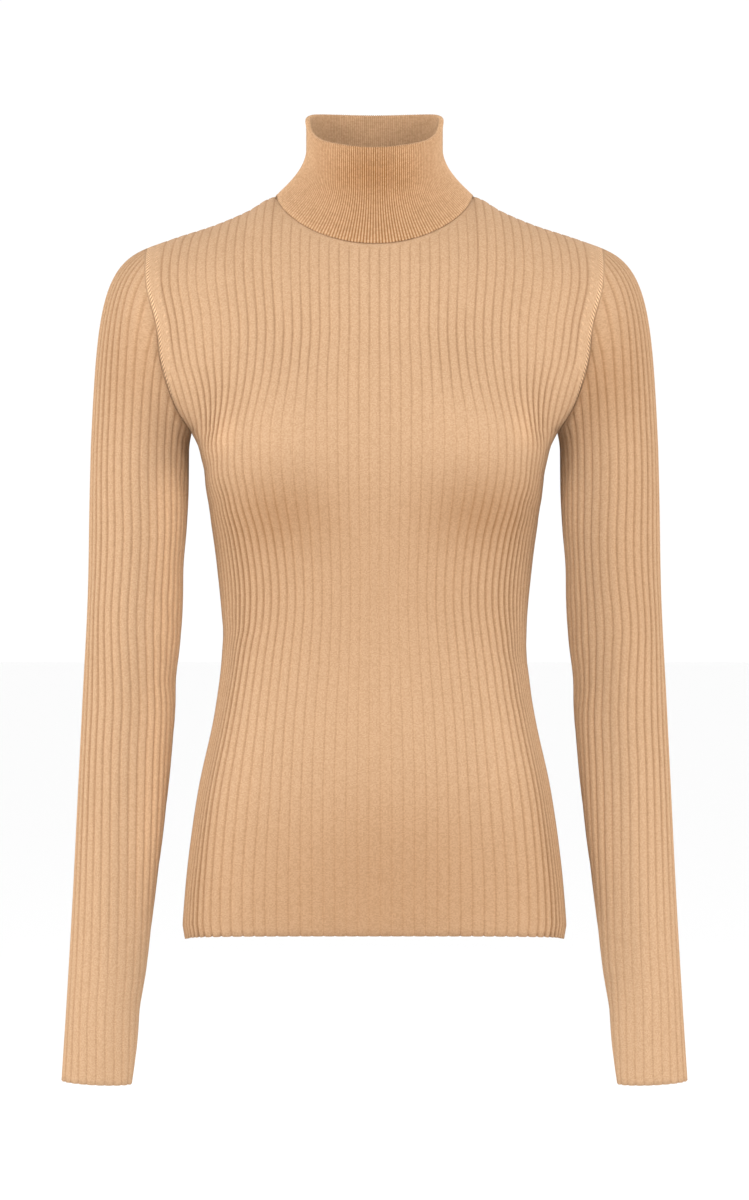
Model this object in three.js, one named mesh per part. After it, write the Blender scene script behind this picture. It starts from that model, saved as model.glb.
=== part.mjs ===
// A slim turtleneck sweater in a wide flat rib, with a roll collar in a finer rib.
// It is knitted as five pieces (front, back, two sleeves, collar) and linked at the seams.
// It keeps the hollow form that it has when worn, arms down, on a general figure.
// Millimetres, +Z up. The front faces -Y and the wearer's left is +X.
// The origin is the middle of the neck base, level with the side neck points.
import * as THREE from "three";

const DEGREE = Math.PI / 180;

// Cloth
const WALL = 2;
const COLLAR_WALL = 1.5;
const SEAM_GAP = 0.3;
const YARN = { color: 0xdcb48c, roughness: 0.92, metalness: 0 };

// Side seam from the hem up to the underarm, then the armhole seam up to the shoulder point:
// how far the line stands from the middle of the garment at each height.
const SIDE_LINE = [
  { height: -597, across: 158 },
  { height: -540, across: 152.8 },
  { height: -480, across: 143.8 },
  { height: -420, across: 130.8 },
  { height: -361, across: 124.6 },
  { height: -300, across: 129.2 },
  { height: -245, across: 137 },
  { height: -205, across: 143.5 },
  { height: -191, across: 150 },
  { height: -172, across: 161 },
  { height: -139, across: 171.6 },
  { height: -106, across: 175.8 },
  { height: -74, across: 184 },
  { height: -39.5, across: 186 },
];

// Depth of the front and back from the side seam at each height. A squareness of 2 is an ellipse,
// and a higher one is fuller beside the seam.
const BODY_DEPTHS = [
  { height: -597, front: 81, frontSquare: 3.2, back: 112, backSquare: 2.2 },
  { height: -540, front: 89, frontSquare: 3.1, back: 113.5, backSquare: 2.2 },
  { height: -480, front: 93, frontSquare: 2.9, back: 104, backSquare: 2.2 },
  { height: -420, front: 95, frontSquare: 2.7, back: 86, backSquare: 2.15 },
  { height: -361, front: 91, frontSquare: 2.4, back: 75, backSquare: 2.1 },
  { height: -300, front: 91, frontSquare: 2.15, back: 77.5, backSquare: 2.15 },
  { height: -245, front: 98, frontSquare: 2.4, back: 85.5, backSquare: 2.3 },
  { height: -205, front: 105, frontSquare: 2.5, back: 92.5, backSquare: 2.4 },
  { height: -191, front: 105.5, frontSquare: 2.5, back: 94, backSquare: 2.4 },
  { height: -150, front: 103, frontSquare: 2.35, back: 97, backSquare: 2.3 },
  { height: -115, front: 96.5, frontSquare: 2.2, back: 95.5, backSquare: 2.2 },
];

// The hem hangs lower at the side seams than in the middle. This fades out upwards.
const HEM = -597;
const HEM_SIDE_DROP = 8.5;
const HEM_DROP_REACH = 90;

// The two soft swellings at the bust, as a share of the front's depth added round their middles.
const BUST_HEIGHT = -206;
const BUST_ACROSS = 80;
const BUST_REACH = 40;
const BUST_ABOVE = 62;
const BUST_BELOW = 36;
const BUST_SHARE = 0.13;

// Ridge of the shoulders from the middle of the neck outwards. It is the shoulder seam from the
// side neck point to the shoulder point; inside the neck it is only what the arches aim at.
const SHOULDER_LINE = [
  { across: 0, height: 9 },
  { across: 45, height: 7.5 },
  { across: 84, height: 1.5 },
  { across: 103, height: -9.3 },
  { across: 130, height: -20.8 },
  { across: 160, height: -30.5 },
  { across: 186, height: -39.5 },
];
const NECK_HALF_WIDTH = 79;
const SHOULDER_HALF_WIDTH = 186;
const NECK_SHARE = NECK_HALF_WIDTH / SHOULDER_HALF_WIDTH;

// Armhole: an upright oval from the shoulder point down to the underarm. Above its middle the
// panels arch over to the shoulder seam.
const SHOULDER_POINT = -39.5;
const UNDERARM = -191;
const ARMHOLE_MIDDLE = (SHOULDER_POINT + UNDERARM) / 2;
const ARMHOLE_HALF_HEIGHT = (SHOULDER_POINT - UNDERARM) / 2;

// The two body panels. neckAngle is how far short of the shoulder seam the arch stops at the
// middle of the neck, neckRise how far the arch aims above the ridge there, and
// neckCurve the roundness of the neckline.
const FRONT = {
  side: -1,
  depth: "front",
  square: "frontSquare",
  bust: 1,
  armholeDepth: 62,
  neckAngle: 53.7 * DEGREE,
  neckRise: 0,
  neckCurve: 0.64,
};
const BACK = {
  side: 1,
  depth: "back",
  square: "backSquare",
  bust: 0,
  armholeDepth: 66,
  neckAngle: 40 * DEGREE,
  neckRise: 16,
  neckCurve: 0.8,
};

// Where the armhole seam meets the arm: the turn round the armhole from the shoulder point, and
// the turn round the arm from its outer side, that lie on one rib of the sleeve.
const CAP_TURNS = [
  { seam: 0, arm: 0 },
  { seam: 28, arm: 49 },
  { seam: 47, arm: 81 },
  { seam: 90, arm: 122 },
  { seam: 126, arm: 141 },
  { seam: 180, arm: 180 },
];

// Sleeve from the cuff up to just under the armhole: its inner and outer side from the middle of
// the garment, half its depth, and how far its middle hangs behind (+) or before (-) the shoulder.
const ARM_SECTIONS = [
  { height: -721, inner: 196.8, outer: 254.8, halfDepth: 22, behind: -24 },
  { height: -656, inner: 189.2, outer: 251.1, halfDepth: 25, behind: -17 },
  { height: -574, inner: 180, outer: 247.1, halfDepth: 29, behind: -7 },
  { height: -492, inner: 170.3, outer: 243.8, halfDepth: 34, behind: 3 },
  { height: -410, inner: 162.8, outer: 240.1, halfDepth: 38.5, behind: 8 },
  { height: -328, inner: 156.9, outer: 235.7, halfDepth: 42, behind: 5 },
  { height: -246, inner: 152.6, outer: 233.8, halfDepth: 45, behind: 1 },
  { height: -205, inner: 151.9, outer: 232.7, halfDepth: 45.5, behind: 0 },
];
const CAP_BOTTOM = -205;

// Stretch of the arm that its lean is taken over.
const LEAN_STRETCH = 1;

// How the sleeve cap leaves the armhole seam: angle below level at the shoulder point and at the
// underarm, and forward and backward bulge. CAP_ARM_LEAN is its lean inwards where it joins the
// arm. Each end of the curve keeps its direction for a share of the curve's length.
const CAP_TOP_SLOPE = 20 * DEGREE;
const CAP_UNDERARM_SLOPE = 85 * DEGREE;
const CAP_BULGE = 0.2;
const CAP_ARM_LEAN = 0.045;
const CAP_TOP_KEEP = 0.24;
const CAP_ARM_KEEP = 0.64;

// Soft folds across the sleeve: height, turn round the arm, reach up and down, reach round the
// arm in degrees, and depth.
const SLEEVE_FOLDS = [
  { height: -392, turn: 150, tall: 20, wide: 55, depth: 2.2 },
  { height: -300, turn: 165, tall: 24, wide: 50, depth: 1.6 },
  { height: -660, turn: 170, tall: 20, wide: 60, depth: 1.4 },
];

// Collar: a tube that rises from the neckline, folds over at the top and falls back outside.
const COLLAR_TOP = [
  { turn: 0, height: 37 },
  { turn: 45, height: 43 },
  { turn: 70, height: 53 },
  { turn: 90, height: 66 },
  { turn: 120, height: 73 },
  { turn: 180, height: 76 },
];
const COLLAR_HALF_WIDTH = 54;
const COLLAR_HALF_DEPTH = 52;
const COLLAR_MIDDLE = -13;
const COLLAR_LAYER_GAP = 0.6;
const COLLAR_STRAIGHT_FROM = 0.6;
const COLLAR_FLARE = 1.8;
const COLLAR_FALL_END = 0.05;
const NECK_LEAN_MIDDLE = 40 * DEGREE;
const NECK_LEAN_SIDE = 58 * DEGREE;

// Rows and columns of each wall
const BODY_LEVELS = [-597, -535, -475, -420, -361, -310, -262, -228, -205];
const ARMHOLE_STEPS = 12;
const ARMHOLE_CROWDING = 1.25;
const SHOULDER_STEPS = 8;
const NECK_STEPS = 12;
const NECK_CROWDING = 1.5;
const SECTION_STEPS = 64;
const CAP_STEPS = 6;
const ARM_LEVELS = [-205, -246, -287, -328, -369, -410, -451, -492, -574, -656, -721];
const STAND_STEPS = [0, 0.12, 0.27, 0.45, 0.7, 1];
const FOLD_STEPS = 4;
const FALL_STEPS = [1, 0.7, 0.45, 0.27, 0.14, COLLAR_FALL_END];

// Smooth value of a column of a table at a place between its rows: a cubic through the rows.
function valueAt(table, key, place, column) {
  const last = table.length - 1;
  let row = 0;
  while (row < last - 1 && place > table[row + 1][key]) row += 1;
  const slope = (at) => {
    const before = table[Math.max(at - 1, 0)];
    const after = table[Math.min(at + 1, last)];
    return (after[column] - before[column]) / (after[key] - before[key]);
  };
  const low = table[row];
  const high = table[row + 1];
  const span = high[key] - low[key];
  const t = (place - low[key]) / span;
  const keepLow = (1 + 2 * t) * (1 - t) ** 2;
  const keepHigh = (3 - 2 * t) * t ** 2;
  const bend = slope(row) * t * (1 - t) ** 2 - slope(row + 1) * (1 - t) * t ** 2;
  return low[column] * keepLow + high[column] * keepHigh + span * bend;
}

// How far the front swells at the bust, as a share of its depth.
function bustSwelling(across, height) {
  const tall = height > BUST_HEIGHT ? BUST_ABOVE : BUST_BELOW;
  const up = ((height - BUST_HEIGHT) / tall) ** 2;
  return BUST_SHARE * Math.exp(-(((across - BUST_ACROSS) / BUST_REACH) ** 2) - up);
}

// Point on half a level section of a body panel, a share of the cloth's length from the middle of
// the panel to its edge. The ribs lie at equal shares.
function sectionPoint(panel, share, height) {
  const depth = valueAt(BODY_DEPTHS, "height", height, panel.depth);
  const square = valueAt(BODY_DEPTHS, "height", height, panel.square);
  const edge = valueAt(SIDE_LINE, "height", height, "across");
  const rise = THREE.MathUtils.clamp((height - ARMHOLE_MIDDLE) / ARMHOLE_HALF_HEIGHT, -1, 1);
  const edgeDepth = panel.armholeDepth * Math.sqrt(1 - rise ** 2);
  const reach = edge / (1 - (edgeDepth / depth) ** square) ** (1 / square);
  const end = Math.asin((edge / reach) ** (square / 2));
  const points = [];
  for (let i = 0; i <= SECTION_STEPS; i += 1) {
    const angle = (end * i) / SECTION_STEPS;
    const x = reach * Math.sin(angle) ** (2 / square);
    const y = depth * Math.max(Math.cos(angle), 0) ** (2 / square);
    points.push(new THREE.Vector2(x, y * (1 + panel.bust * bustSwelling(x, height))));
  }
  const lengths = [0];
  for (let i = 1; i <= SECTION_STEPS; i += 1) {
    lengths.push(lengths[i - 1] + points[i].distanceTo(points[i - 1]));
  }
  const wanted = Math.abs(share) * lengths[SECTION_STEPS];
  let i = 1;
  while (i < SECTION_STEPS && lengths[i] < wanted) i += 1;
  const part = (wanted - lengths[i - 1]) / (lengths[i] - lengths[i - 1]);
  const point = points[i - 1].clone().lerp(points[i], part);
  const drop = HEM_SIDE_DROP * Math.exp(-(((height - HEM) / HEM_DROP_REACH) ** 2));
  const low = height - drop * (1 - point.y / points[0].y);
  return new THREE.Vector3(Math.sign(share) * point.x, panel.side * point.y, low);
}

// Height that a panel's arch aims at over a share of the shoulder width.
function ridgeHeight(panel, share) {
  const inNeck = Math.max(1 - (share / NECK_SHARE) ** 2, 0);
  const across = Math.abs(share) * SHOULDER_HALF_WIDTH;
  return valueAt(SHOULDER_LINE, "across", across, "height") + panel.neckRise * inNeck ** 2;
}

// Point of a panel at a turn round the armhole, 0 at the shoulder seam or neckline and 180
// degrees level with the underarm.
function shoulderPoint(panel, share, turn) {
  const quarter = Math.PI / 2;
  if (turn >= quarter) {
    return sectionPoint(panel, share, ARMHOLE_MIDDLE + ARMHOLE_HALF_HEIGHT * Math.cos(turn));
  }
  const inNeck = Math.max(1 - (share / NECK_SHARE) ** 2, 0);
  const stop = panel.neckAngle * inNeck ** (panel.neckCurve / 2);
  const angle = stop + (quarter - stop) * (turn / quarter);
  const spring = sectionPoint(panel, share, ARMHOLE_MIDDLE);
  const springEdge = valueAt(SIDE_LINE, "height", ARMHOLE_MIDDLE, "across");
  const seamHeight = ARMHOLE_MIDDLE + ARMHOLE_HALF_HEIGHT * Math.cos(angle);
  const seam = valueAt(SIDE_LINE, "height", seamHeight, "across");
  const across = THREE.MathUtils.lerp(share, spring.x / springEdge, Math.sin(angle));
  const climb = ridgeHeight(panel, share) - ARMHOLE_MIDDLE;
  return new THREE.Vector3(
    seam * across,
    spring.y * Math.sin(angle),
    ARMHOLE_MIDDLE + climb * Math.cos(angle),
  );
}

// Turns round the armhole from the shoulder point, closest together there.
function armholeTurns() {
  const turns = [];
  for (let i = 0; i <= ARMHOLE_STEPS; i += 1) {
    turns.push(Math.PI * (i / ARMHOLE_STEPS) ** ARMHOLE_CROWDING);
  }
  return turns;
}

// Turns round the neck from the middle of a panel, closest together at the side neck points.
function neckTurns() {
  const turns = [];
  for (let i = 0; i <= NECK_STEPS; i += 1) {
    const share = (2 * i) / NECK_STEPS - 1;
    turns.push((Math.sign(share) * (1 - (1 - Math.abs(share)) ** NECK_CROWDING) * Math.PI) / 2);
  }
  return turns;
}

// Into the armhole from its seam: both walls that meet there thicken this way.
function intoArmhole(panel, turn) {
  return new THREE.Vector3(0, -panel.side * Math.sin(turn), -Math.cos(turn));
}

// At the neckline: into the neck, the way that both walls thicken, and up into the collar.
function neckFrame(panel, turn) {
  const lean = THREE.MathUtils.lerp(NECK_LEAN_MIDDLE, NECK_LEAN_SIDE, Math.sin(turn) ** 2);
  const level = new THREE.Vector3(-Math.sin(turn), -panel.side * Math.cos(turn), 0);
  const up = new THREE.Vector3(0, 0, 1);
  return {
    into: level.clone().multiplyScalar(Math.cos(lean)).addScaledVector(up, -Math.sin(lean)),
    above: level.clone().multiplyScalar(Math.sin(lean)).addScaledVector(up, Math.cos(lean)),
  };
}

// Outward direction of a grid of points (rows of columns) at one of them.
function facing(grid, row, column, closed, outward) {
  const columns = grid[0].length;
  const lines = grid.length;
  const wrap = (c) => (c + columns) % columns;
  const stay = (c) => THREE.MathUtils.clamp(c, 0, columns - 1);
  const [left, right] = [column - 1, column + 1].map(closed ? wrap : stay);
  const [low, high] = [Math.max(row - 1, 0), Math.min(row + 1, lines - 1)];
  const along = grid[row][right].clone().sub(grid[row][left]);
  const up = grid[high][column].clone().sub(grid[low][column]);
  return along.cross(up).normalize().multiplyScalar(outward);
}

// A closed wall between an outer and an inner grid of points.
function wall(outer, inner, closed) {
  const rows = outer.length;
  const columns = outer[0].length;
  const points = [...outer.flat(), ...inner.flat()];
  const outside = (r, c) => r * columns + (c % columns);
  const inside = (r, c) => rows * columns + outside(r, c);
  const faces = [];
  const quad = (a, b, c, d) => faces.push(a, b, c, a, c, d);
  const across = closed ? columns : columns - 1;
  for (let r = 0; r < rows - 1; r += 1) {
    for (let c = 0; c < across; c += 1) {
      quad(outside(r, c), outside(r, c + 1), outside(r + 1, c + 1), outside(r + 1, c));
      quad(inside(r, c), inside(r + 1, c), inside(r + 1, c + 1), inside(r, c + 1));
    }
  }
  for (let c = 0; c < across; c += 1) {
    const top = rows - 1;
    quad(inside(0, c), inside(0, c + 1), outside(0, c + 1), outside(0, c));
    quad(outside(top, c), outside(top, c + 1), inside(top, c + 1), inside(top, c));
  }
  for (let r = 0; !closed && r < rows - 1; r += 1) {
    const edge = columns - 1;
    quad(outside(r, 0), outside(r + 1, 0), inside(r + 1, 0), inside(r, 0));
    quad(inside(r, edge), inside(r + 1, edge), outside(r + 1, edge), outside(r, edge));
  }
  let volume = 0;
  for (let i = 0; i < faces.length; i += 3) {
    const [a, b, c] = [points[faces[i]], points[faces[i + 1]], points[faces[i + 2]]];
    volume += a.dot(b.clone().cross(c)) / 6;
  }
  if (volume < 0) faces.reverse();
  return new THREE.BufferGeometry().setFromPoints(points).setIndex(faces);
}

function knitted(name, geometry) {
  geometry.computeVertexNormals();
  const mesh = new THREE.Mesh(geometry, new THREE.MeshStandardMaterial(YARN));
  mesh.name = name;
  return mesh;
}

// Front or back: columns follow the ribs, rows climb from the hem to the shoulders and neckline.
function bodyPanel(name, panel) {
  const shares = [];
  for (let i = 0; i < SHOULDER_STEPS; i += 1) {
    shares.push(-1 + ((1 - NECK_SHARE) * i) / SHOULDER_STEPS);
  }
  for (const turn of neckTurns()) shares.push(NECK_SHARE * Math.sin(turn));
  for (let i = SHOULDER_STEPS - 1; i >= 0; i -= 1) shares.push(-shares[i]);
  const turns = armholeTurns().reverse();
  const low = BODY_LEVELS.map((height) => shares.map((s) => sectionPoint(panel, s, height)));
  const high = turns.map((turn) => shares.map((s) => shoulderPoint(panel, s, turn)));
  const grid = [...low, ...high];
  const top = grid.length - 1;
  const edge = shares.length - 1;
  const outer = grid.map((line) => line.map((point) => point.clone()));
  const inner = grid.map((line, row) =>
    line.map((point, column) => {
      const into = facing(grid, row, column, false, -panel.side).negate();
      const onSide = column === 0 || column === edge;
      const outerPoint = outer[row][column];
      outerPoint.y += (panel.side * SEAM_GAP) / 2;
      if (onSide && row >= low.length) {
        into.copy(intoArmhole(panel, turns[row - low.length]));
        outerPoint.x -= (Math.sign(point.x) * SEAM_GAP) / 2;
      } else if (row === top && Math.abs(shares[column]) <= NECK_SHARE) {
        const neck = neckFrame(panel, neckTurns()[column - SHOULDER_STEPS]);
        into.copy(neck.into);
        outerPoint.addScaledVector(neck.above, -SEAM_GAP / 2);
      } else if (onSide || row === top) {
        into.setY(0).normalize();
      }
      return outerPoint.clone().addScaledVector(into, WALL);
    }),
  );
  return knitted(name, wall(outer, inner, false));
}

// How far the middle of the arm stands from the middle of the garment at a height.
function armMiddle(height) {
  const inner = valueAt(ARM_SECTIONS, "height", height, "inner");
  const outer = valueAt(ARM_SECTIONS, "height", height, "outer");
  return (inner + outer) / 2;
}

// Point on the arm at a height and a turn from the arm's outer side (front +, back -). Each ring
// is square to the arm.
function armPoint(turn, height) {
  const middle = armMiddle(height);
  const halfWidth = valueAt(ARM_SECTIONS, "height", height, "outer") - middle;
  const halfDepth = valueAt(ARM_SECTIONS, "height", height, "halfDepth");
  const behind = valueAt(ARM_SECTIONS, "height", height, "behind");
  const below = Math.max(height - LEAN_STRETCH, ARM_SECTIONS[0].height);
  const lean = Math.atan((armMiddle(below) - armMiddle(below + LEAN_STRETCH)) / LEAN_STRETCH);
  const across = halfWidth * Math.cos(turn);
  return new THREE.Vector3(
    middle + across * Math.cos(lean),
    behind - halfDepth * Math.sin(turn),
    height + across * Math.sin(lean),
  );
}

// How deep the soft folds press the sleeve at a height and turn.
function foldDepth(turn, height) {
  let depth = 0;
  for (const fold of SLEEVE_FOLDS) {
    const up = (height - fold.height) / fold.tall;
    const round = (Math.abs(turn) / DEGREE - fold.turn) / fold.wide;
    depth += fold.depth * Math.exp(-(up ** 2) - round ** 2);
  }
  return depth;
}

// A sleeve: columns follow the ribs from the armhole seam over the cap and down to the cuff.
function sleeve(name, hand) {
  const seamTurns = armholeTurns();
  const columns = [];
  for (let i = 0; i < ARMHOLE_STEPS; i += 1) columns.push({ turn: seamTurns[i], panel: FRONT });
  for (let i = ARMHOLE_STEPS; i > 0; i -= 1) columns.push({ turn: seamTurns[i], panel: BACK });
  for (const column of columns) {
    const { turn, panel } = column;
    const round = valueAt(CAP_TURNS, "seam", turn / DEGREE, "arm") * DEGREE;
    column.arm = -panel.side * round;
    column.start = shoulderPoint(panel, 1, turn);
    column.start.x += SEAM_GAP / 2;
    const slope = THREE.MathUtils.lerp(CAP_TOP_SLOPE, CAP_UNDERARM_SLOPE, turn / Math.PI);
    const bulge = panel.side * CAP_BULGE * Math.sin(turn);
    column.leave = new THREE.Vector3(Math.cos(slope), bulge, -Math.sin(slope)).normalize();
  }
  const up = new THREE.Vector3(-CAP_ARM_LEAN, 0, 1);
  const grid = [];
  for (let row = 0; row <= CAP_STEPS; row += 1) {
    grid.push(
      columns.map(({ start, leave, arm }) => {
        const end = armPoint(arm, CAP_BOTTOM);
        const length = start.distanceTo(end);
        const curve = new THREE.CubicBezierCurve3(
          start,
          start.clone().addScaledVector(leave, CAP_TOP_KEEP * length),
          end.clone().addScaledVector(up, CAP_ARM_KEEP * length),
          end,
        );
        return curve.getPoint(row / CAP_STEPS);
      }),
    );
  }
  for (const height of ARM_LEVELS.slice(1)) {
    grid.push(columns.map(({ arm }) => armPoint(arm, height)));
  }
  const outer = grid.map((line, row) =>
    line.map((point, column) => {
      if (row <= CAP_STEPS) return point.clone();
      const press = foldDepth(columns[column].arm, ARM_LEVELS[row - CAP_STEPS]);
      return point.clone().addScaledVector(facing(grid, row, column, true, 1), -press);
    }),
  );
  const inner = outer.map((line, row) =>
    line.map((point, column) => {
      const { panel, turn } = columns[column];
      const into = row === 0
        ? intoArmhole(panel, turn)
        : facing(outer, row, column, true, 1).negate();
      return point.clone().addScaledVector(into, WALL);
    }),
  );
  for (const point of [...outer.flat(), ...inner.flat()]) point.x *= hand;
  return knitted(name, wall(outer, inner, true));
}

// Middle of the collar's two layers, from the neckline (0) to the top fold (1).
function collarPoint(panel, turn, rise) {
  const base = shoulderPoint(panel, NECK_SHARE * Math.sin(turn), 0);
  const round = panel === FRONT ? Math.abs(turn) : Math.PI - Math.abs(turn);
  const topHeight = valueAt(COLLAR_TOP, "turn", round / DEGREE, "height");
  const flare = Math.max(1 - rise / COLLAR_STRAIGHT_FROM, 0) ** COLLAR_FLARE;
  const foldReach = COLLAR_LAYER_GAP / 2 + COLLAR_WALL;
  const topX = COLLAR_HALF_WIDTH * Math.sin(turn);
  const topY = COLLAR_MIDDLE + panel.side * COLLAR_HALF_DEPTH * Math.cos(turn);
  return new THREE.Vector3(
    THREE.MathUtils.lerp(topX, base.x, flare),
    THREE.MathUtils.lerp(topY, base.y, flare),
    THREE.MathUtils.lerp(base.z, topHeight - foldReach, rise),
  );
}

// The collar: one cloth, up the inside as the stand, over the fold and down outside as the fall.
function collar() {
  const places = [];
  for (const turn of neckTurns()) places.push({ panel: FRONT, turn });
  for (const turn of neckTurns().reverse().slice(1, -1)) places.push({ panel: BACK, turn });
  const rises = [...new Set([...STAND_STEPS, ...FALL_STEPS])].sort((a, b) => a - b);
  const middle = rises.map((rise) =>
    places.map(({ panel, turn }) => collarPoint(panel, turn, rise)),
  );
  const shown = [];
  const hidden = [];
  const layer = (rise, side) => {
    const row = rises.indexOf(rise);
    const away = (distance) => middle[row].map((point, column) => {
      const out = facing(middle, row, column, true, 1);
      return point.clone().addScaledVector(out, side * distance);
    });
    shown.push(away(COLLAR_LAYER_GAP / 2 + COLLAR_WALL));
    hidden.push(away(COLLAR_LAYER_GAP / 2));
  };
  for (const rise of STAND_STEPS) layer(rise, -1);
  const top = rises.length - 1;
  for (let i = 1; i < FOLD_STEPS; i += 1) {
    const bend = (Math.PI * i) / FOLD_STEPS;
    const over = (distance) => middle[top].map((point, column) => {
      const out = facing(middle, top, column, true, 1);
      const up = point.clone().sub(middle[top - 1][column]).normalize();
      const turned = out.multiplyScalar(-Math.cos(bend)).addScaledVector(up, Math.sin(bend));
      return point.clone().addScaledVector(turned, distance);
    });
    shown.push(over(COLLAR_LAYER_GAP / 2 + COLLAR_WALL));
    hidden.push(over(COLLAR_LAYER_GAP / 2));
  }
  for (const rise of FALL_STEPS) layer(rise, 1);
  hidden[0] = middle[0].map((point, column) => {
    const { panel, turn } = places[column];
    return point.clone().addScaledVector(neckFrame(panel, turn).above, SEAM_GAP / 2);
  });
  shown[0] = hidden[0].map((point, column) => {
    const { panel, turn } = places[column];
    return point.clone().addScaledVector(neckFrame(panel, turn).into, COLLAR_WALL);
  });
  return knitted("collar", wall(shown, hidden, true));
}

const sweater = new THREE.Group();
sweater.add(bodyPanel("front", FRONT));
sweater.add(bodyPanel("back", BACK));
sweater.add(sleeve("sleeve_left", 1));
sweater.add(sleeve("sleeve_right", -1));
sweater.add(collar());

export default sweater;
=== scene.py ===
# A slim turtleneck sweater in a wide flat rib with a fine-rib roll collar, filled out as worn.
# Metres, +Z up, front to -Y, the wearer's left to +X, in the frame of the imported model.
import math

import bmesh
import bpy
import numpy as np
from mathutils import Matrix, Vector


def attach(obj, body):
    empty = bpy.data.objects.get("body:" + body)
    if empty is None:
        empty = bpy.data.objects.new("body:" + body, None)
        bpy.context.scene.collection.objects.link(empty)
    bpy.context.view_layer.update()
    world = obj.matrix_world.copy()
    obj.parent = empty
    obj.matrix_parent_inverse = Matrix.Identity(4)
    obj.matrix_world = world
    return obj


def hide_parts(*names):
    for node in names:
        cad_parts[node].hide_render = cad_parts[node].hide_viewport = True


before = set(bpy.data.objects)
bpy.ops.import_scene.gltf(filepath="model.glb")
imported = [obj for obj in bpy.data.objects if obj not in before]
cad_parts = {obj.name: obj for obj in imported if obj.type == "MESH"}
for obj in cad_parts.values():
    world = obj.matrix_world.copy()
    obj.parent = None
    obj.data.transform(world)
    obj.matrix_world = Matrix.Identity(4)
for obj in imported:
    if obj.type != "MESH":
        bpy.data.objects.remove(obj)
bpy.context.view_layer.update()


# THE FRONT AND THE BACK
# Two panels of fine wool-blend yarn in a wide flat rib, 49 ribs from side seam to side seam. Each
# is narrowed along the armholes, where the outer ribs run out into a plain strip, and the two are
# linked at the sides and shoulders. The ribs draw together where the sweater is narrow.
def table(names, *rows):
    """A short table: one row for each place, read by the names of its columns."""
    return dict(zip(names.split(), np.array(rows, float).T))


SIDE_LINE = table(
    "height across",
    (-0.597, 0.158),
    (-0.540, 0.1528),
    (-0.480, 0.1438),
    (-0.420, 0.1308),
    (-0.361, 0.1246),
    (-0.300, 0.1292),
    (-0.245, 0.137),
    (-0.205, 0.1435),
    (-0.191, 0.150),
    (-0.172, 0.161),
    (-0.139, 0.1716),
    (-0.106, 0.1758),
    (-0.074, 0.184),
    (-0.0395, 0.186),
)
BODY_DEPTHS = table(
    "height front front_square back back_square",
    (-0.597, 0.081, 3.2, 0.112, 2.2),
    (-0.54, 0.089, 3.1, 0.1135, 2.2),
    (-0.48, 0.093, 2.9, 0.104, 2.2),
    (-0.42, 0.095, 2.7, 0.086, 2.15),
    (-0.361, 0.091, 2.4, 0.075, 2.1),
    (-0.3, 0.091, 2.15, 0.0775, 2.15),
    (-0.245, 0.098, 2.4, 0.0855, 2.3),
    (-0.205, 0.105, 2.5, 0.0925, 2.4),
    (-0.191, 0.1055, 2.5, 0.094, 2.4),
    (-0.15, 0.103, 2.35, 0.097, 2.3),
    (-0.115, 0.0965, 2.2, 0.0955, 2.2),
)
SHOULDER_LINE = table(
    "across height",
    (0, 0.009),
    (0.045, 0.0075),
    (0.084, 0.0015),
    (0.103, -0.0093),
    (0.130, -0.0208),
    (0.160, -0.0305),
    (0.186, -0.0395),
)
HEM, UNDERARM, SHOULDER_POINT = -0.597, -0.191, -0.0395
ARMHOLE_MIDDLE = (SHOULDER_POINT + UNDERARM) / 2
ARMHOLE_HALF_HEIGHT = (SHOULDER_POINT - UNDERARM) / 2
NECK_HALF_WIDTH, SHOULDER_HALF_WIDTH = 0.079, 0.186
NECK_SHARE = NECK_HALF_WIDTH / SHOULDER_HALF_WIDTH
FRONT = dict(side=-1, name="front", armhole=0.062, neck_angle=math.radians(53.7), curve=0.64)
BACK = dict(side=1, name="back", armhole=0.066, neck_angle=math.radians(40), curve=0.8)
FRONT.update(rise=0.0, bust=0.13)
BACK.update(rise=0.016, bust=0.0)
BUST_HEIGHT, BUST_ABOVE, BUST_BELOW = -0.206, 0.062, 0.036
BUST_ACROSS, BUST_REACH = 0.080, 0.040

CLOTH = 0.0017
BODY_RIBS = 49
COUNTED_RIBS = dict(rib_5=5.5, rib_10=10.5, rib_15=15.5, rib_20=20.5)
RIB_FLOW = table(
    "height rib_5 rib_10 rib_15 rib_20",
    (-0.597, 0.050, 0.097, 0.139, 0.1555),
    (-0.550, 0.050, 0.0965, 0.137, 0.1515),
    (-0.487, 0.050, 0.092, 0.1305, 0.142),
    (-0.423, 0.0475, 0.0865, 0.118, 0.1285),
    (-0.376, 0.044, 0.0815, 0.1105, 0.121),
    (-0.328, 0.0415, 0.0765, 0.105, 0.121),
    (-0.280, 0.043, 0.0805, 0.110, 0.126),
    (-0.249, 0.045, 0.087, 0.118, 0.132),
    (-0.225, 0.046, 0.0905, 0.123, 0.137),
    (-0.201, 0.0463, 0.091, 0.1235, 0.140),
    (-0.185, 0.0462, 0.0895, 0.1205, 0.1395),
    (-0.173, 0.046, 0.087, 0.118, 0.1405),
    (-0.158, 0.0457, 0.0835, 0.116, 0.143),
    (-0.138, 0.0447, 0.0805, 0.115, 0.148),
    (-0.114, 0.043, 0.079, 0.1145, 0.1515),
)
SHOULDER_RIBS = table("rib share", (0, 0), (5.5, 0.231), (20.5, 0.817), (24.5, 1))
LOWER_ROWS, ARMHOLE_ROWS, ARMHOLE_CROWDING = 76, 36, 1.25
RIB_DEPTH, SLACK_RIB_DEPTH = 0.00045, 0.0015
# Painted shade in the furrows: how dark where the ribs are taut, and how much more where they are
# slack.
SHADE_OF_TAUT, SHADE_OF_SLACK = 0.75, 1.5
STRETCHED_PITCH, SLACK_PITCH = 0.0088, 0.0058
SLACK_OF_CLOSE_RIBS, SLACK_OF_SIDES, SLACK_OF_CHEST = 0.45, 0.9, 0.3
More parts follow.
